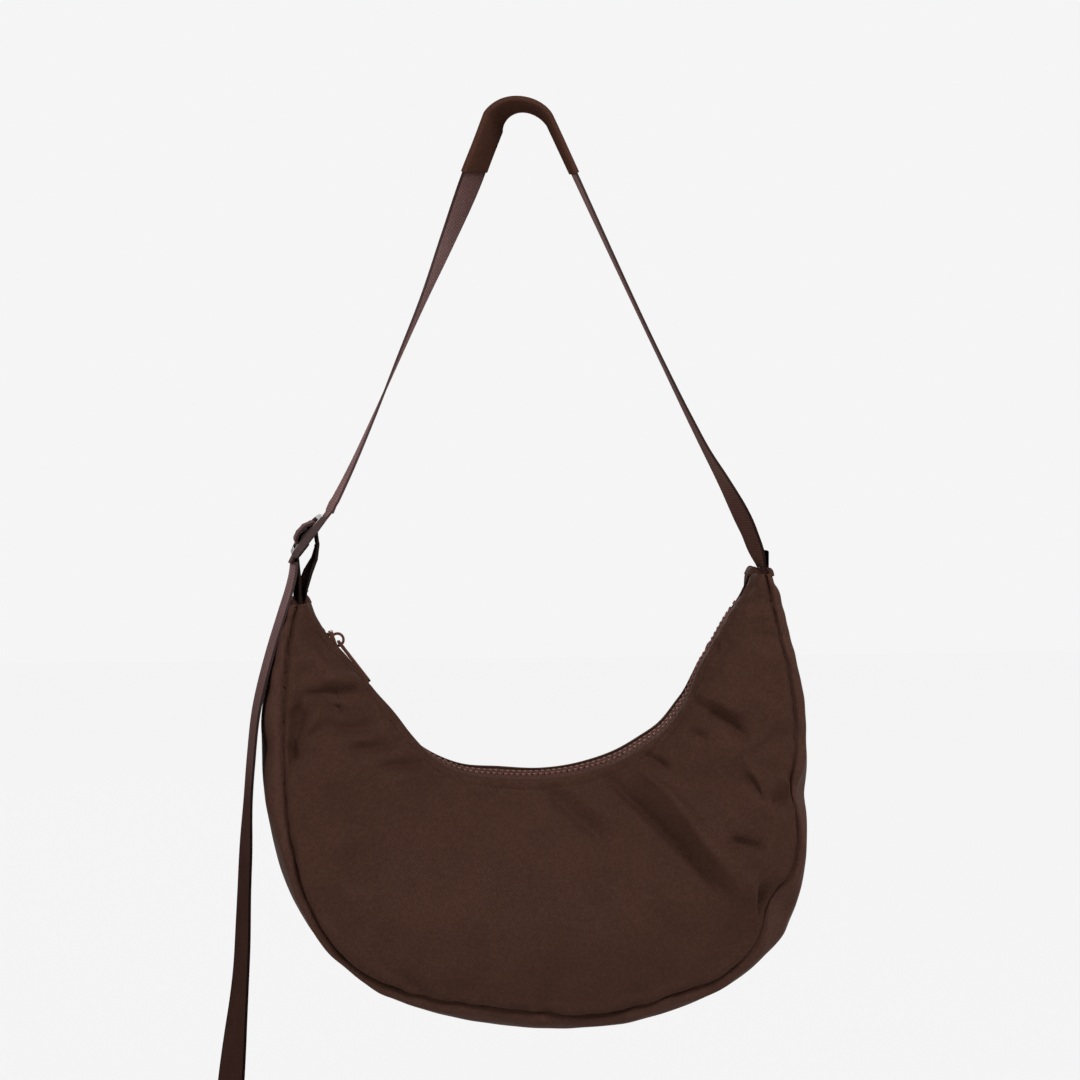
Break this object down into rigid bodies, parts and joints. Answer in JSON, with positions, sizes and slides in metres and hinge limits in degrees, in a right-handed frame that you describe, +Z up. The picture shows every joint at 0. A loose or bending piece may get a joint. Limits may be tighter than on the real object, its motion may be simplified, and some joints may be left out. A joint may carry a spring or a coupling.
{
  "type": "half moon shoulder bag",
  "caption": "Soft crescent shoulder bag with a curved zip mouth, a gusset all round and a flat webbing strap that runs through a slide buckle and ends in a free tail.",
  "frame": {"origin": "underside of the strap sleeve at its top, where it rests on a shoulder or a hook", "axes": "+Z up along the hanging bag, +X to the right seen from the front, +Y from front to back"},
  "size_m": [0.3718, 0.0882, 0.6929],
  "materials": {
    "body_fabric": "matt brown nylon twill",
    "lining": "plain brown lining",
    "webbing": "ribbed brown webbing with a slight sheen",
    "zip_tape": "woven tape",
    "zip_teeth": "moulded, satin",
    "hardware": "dark brown enamel, glossy",
    "tab": "folded black tape"
  },
  "bodies": {
    "strap": {"strap_webbing": "webbing", "shoulder_sleeve": "body_fabric", "strap_bend_left": "webbing", "strap_bend_right": "webbing"},
    "bag": {"front_panel": "body_fabric", "back_panel": "body_fabric", "gusset": "body_fabric", "front_seam_binding": "lining", "back_seam_binding": "lining", "inner_pocket": "lining", "tip_cap_left": "body_fabric", "tip_cap_right": "body_fabric", "zipper_tape_front": "zip_tape", "zipper_tape_back": "zip_tape", "zipper_teeth_front": "zip_teeth", "zipper_teeth_back": "zip_teeth", "zipper_top_stops": "zip_teeth", "zipper_bottom_stop": "zip_teeth", "strap_foot": "webbing", "strap_threading": "webbing", "strap_loop": "webbing", "strap_buckle": "hardware", "side_tab": "tab"},
    "slider": {"zipper_slider": "hardware"},
    "pull": {"zipper_pull": "hardware"},
    "tail": {"strap_tail": "webbing"}
  },
  "joints": [
    {"name": "bag_swing", "type": "hinge", "parent": "strap", "child": "bag", "pos_m": [0, 0, -0.2237], "axis": [1, 0, 0], "range_deg": [-90, 90], "deforming": ["strap_bend_left", "strap_bend_right"]},
    {"name": "zip_slide", "type": "hinge", "parent": "bag", "child": "slider", "pos_m": [0.00178, 0, -0.28894], "axis": [0, -1, 0], "range_deg": [0, 148], "deforming": ["zipper_teeth_front", "zipper_teeth_back"]},
    {"name": "pull_swing", "type": "hinge", "parent": "slider", "child": "pull", "pos_m": [-0.11268, 0, -0.32974], "axis": [0, -1, 0], "range_deg": [-13, 136]},
    {"name": "tail_swing", "type": "hinge", "parent": "bag", "child": "tail", "pos_m": [-0.14145, -0.00037, -0.27956], "axis": [-0.0872, 0.9962, 0], "range_deg": [0, 100]}
  ]
}
